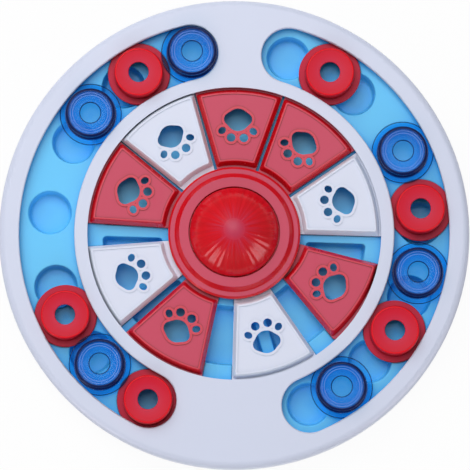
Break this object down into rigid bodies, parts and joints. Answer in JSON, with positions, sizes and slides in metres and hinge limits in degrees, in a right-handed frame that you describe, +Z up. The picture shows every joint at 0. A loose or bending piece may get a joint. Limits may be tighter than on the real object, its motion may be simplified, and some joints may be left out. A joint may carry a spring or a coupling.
{
  "type": "dog puzzle feeder",
  "caption": "Round dog puzzle feeder with wedge and round treat wells under sliding paw lids and knobs, and a press-to-squeak dome in the middle.",
  "frame": {"origin": "centre of the toy in the plane that its rubber feet stand on", "axes": "+Z up through the press button, +Y towards the narrow bridge of the cover"},
  "size_m": [0.28, 0.28, 0.045],
  "materials": {
    "tray_plastic": "light blue, glossy, injection moulded",
    "cover_plastic": "lavender white, satin gloss",
    "cap_plastic": "signal red, satin gloss",
    "button_plastic": "signal red, glossy, fine radial flutes",
    "lid_red_plastic": "red with a soft sheen on its top face",
    "lid_white_plastic": "lavender white, satin gloss",
    "knob_red_plastic": "signal red, satin gloss",
    "knob_blue_plastic": "clear blue, glossy",
    "bellows_rubber": "soft pale elastomer",
    "reed_plastic": "white moulded insert",
    "screw_steel": "zinc plated",
    "foot_rubber": "dark grey non-slip rubber"
  },
  "bodies": {
    "base": {"base_tray": "tray_plastic", "top_cover": "cover_plastic", "centre_cap": "cap_plastic", "squeaker_bellows": "bellows_rubber", "squeaker_reed": "reed_plastic", "cover_screws": "screw_steel", "cap_screws": "screw_steel", "foot_1": "foot_rubber", "foot_2": "foot_rubber", "foot_3": "foot_rubber", "foot_4": "foot_rubber", "foot_5": "foot_rubber", "foot_6": "foot_rubber"},
    "button": {"press_button": "button_plastic"},
    "lid_1": {"lid_1_white": "lid_white_plastic"},
    "lid_2": {"lid_2_red": "lid_red_plastic"},
    "lid_3": {"lid_3_red": "lid_red_plastic"},
    "lid_4": {"lid_4_white": "lid_white_plastic"},
    "lid_5": {"lid_5_red": "lid_red_plastic"},
    "lid_6": {"lid_6_white": "lid_white_plastic"},
    "lid_7": {"lid_7_red": "lid_red_plastic"},
    "lid_8": {"lid_8_white": "lid_white_plastic"},
    "lid_9": {"lid_9_red": "lid_red_plastic"},
    "knob_1": {"knob_1_blue": "knob_blue_plastic"},
    "knob_2": {"knob_2_red": "knob_red_plastic"},
    "knob_3": {"knob_3_blue": "knob_blue_plastic"},
    "knob_4": {"knob_4_red": "knob_red_plastic"},
    "knob_5": {"knob_5_blue": "knob_blue_plastic"},
    "knob_6": {"knob_6_red": "knob_red_plastic"},
    "knob_7": {"knob_7_blue": "knob_blue_plastic"},
    "knob_8": {"knob_8_red": "knob_red_plastic"},
    "knob_9": {"knob_9_blue": "knob_blue_plastic"},
    "knob_10": {"knob_10_red": "knob_red_plastic"},
    "knob_11": {"knob_11_blue": "knob_blue_plastic"},
    "knob_12": {"knob_12_red": "knob_red_plastic"}
  },
  "joints": [
    {"name": "lid_1_slide", "type": "hinge", "parent": "base", "child": "lid_1", "pos_m": [0, 0, 0.0145], "axis": [0, 0, 1], "range_deg": [-8.3, 1.13]},
    {"name": "lid_2_slide", "type": "hinge", "parent": "base", "child": "lid_2", "pos_m": [0, 0, 0.0145], "axis": [0, 0, 1], "range_deg": [-1.13, 0.83]},
    {"name": "lid_3_slide", "type": "hinge", "parent": "base", "child": "lid_3", "pos_m": [0, 0, 0.0145], "axis": [0, 0, 1], "range_deg": [-0.83, 0.23]},
    {"name": "lid_4_slide", "type": "hinge", "parent": "base", "child": "lid_4", "pos_m": [0, 0, 0.0145], "axis": [0, 0, 1], "range_deg": [-0.23, 0.23]},
    {"name": "lid_5_slide", "type": "hinge", "parent": "base", "child": "lid_5", "pos_m": [0, 0, 0.0145], "axis": [0, 0, 1], "range_deg": [-0.23, 9.03]},
    {"name": "lid_6_slide", "type": "hinge", "parent": "base", "child": "lid_6", "pos_m": [0, 0, 0.0145], "axis": [0, 0, 1], "range_deg": [-9.03, 2.83]},
    {"name": "lid_7_slide", "type": "hinge", "parent": "base", "child": "lid_7", "pos_m": [0, 0, 0.0145], "axis": [0, 0, 1], "range_deg": [-2.83, 11.63]},
    {"name": "lid_8_slide", "type": "hinge", "parent": "base", "child": "lid_8", "pos_m": [0, 0, 0.0145], "axis": [0, 0, 1], "range_deg": [-11.63, 9.1]},
    {"name": "lid_9_slide", "type": "hinge", "parent": "base", "child": "lid_9", "pos_m": [0, 0, 0.0145], "axis": [0, 0, 1], "range_deg": [-9.1, 8.3]},
    {"name": "knob_1_slide", "type": "hinge", "parent": "base", "child": "knob_1", "pos_m": [0, 0, 0.0145], "axis": [0, 0, 1], "range_deg": [-12.02, 6.54]},
    {"name": "knob_2_slide", "type": "hinge", "parent": "base", "child": "knob_2", "pos_m": [0, 0, 0.0145], "axis": [0, 0, 1], "range_deg": [-6.54, 2.04]},
    {"name": "knob_3_slide", "type": "hinge", "parent": "base", "child": "knob_3", "pos_m": [0, 0, 0.0145], "axis": [0, 0, 1], "range_deg": [-2.04, 2.34]},
    {"name": "knob_4_slide", "type": "hinge", "parent": "base", "child": "knob_4", "pos_m": [0, 0, 0.0145], "axis": [0, 0, 1], "range_deg": [-2.34, 1.34]},
    {"name": "knob_5_slide", "type": "hinge", "parent": "base", "child": "knob_5", "pos_m": [0, 0, 0.0145], "axis": [0, 0, 1], "range_deg": [-1.34, 16.18]},
    {"name": "knob_6_slide", "type": "hinge", "parent": "base", "child": "knob_6", "pos_m": [0, 0, 0.0145], "axis": [0, 0, 1], "range_deg": [-16.18, 14.52]},
    {"name": "knob_7_slide", "type": "hinge", "parent": "base", "child": "knob_7", "pos_m": [0, 0, 0.0145], "axis": [0, 0, 1], "range_deg": [-0.32, 0.44]},
    {"name": "knob_8_slide", "type": "hinge", "parent": "base", "child": "knob_8", "pos_m": [0, 0, 0.0145], "axis": [0, 0, 1], "range_deg": [-0.44, 2.24]},
    {"name": "knob_9_slide", "type": "hinge", "parent": "base", "child": "knob_9", "pos_m": [0, 0, 0.0145], "axis": [0, 0, 1], "range_deg": [-2.24, 48.68]},
    {"name": "knob_10_slide", "type": "hinge", "parent": "base", "child": "knob_10", "pos_m": [0, 0, 0.0145], "axis": [0, 0, 1], "range_deg": [-48.68, 1.14]},
    {"name": "knob_11_slide", "type": "hinge", "parent": "base", "child": "knob_11", "pos_m": [0, 0, 0.0145], "axis": [0, 0, 1], "range_deg": [-1.14, 1.14]},
    {"name": "knob_12_slide", "type": "hinge", "parent": "base", "child": "knob_12", "pos_m": [0, 0, 0.0145], "axis": [0, 0, 1], "range_deg": [-1.14, 1.02]},
    {"name": "button_press", "type": "slide", "parent": "base", "child": "button", "axis": [0, 0, 1], "range_m": [-0.0045, 0], "stiffness_N_per_m": 600, "springref_m": 0.0005, "deforming": ["squeaker_bellows"]}
  ]
}
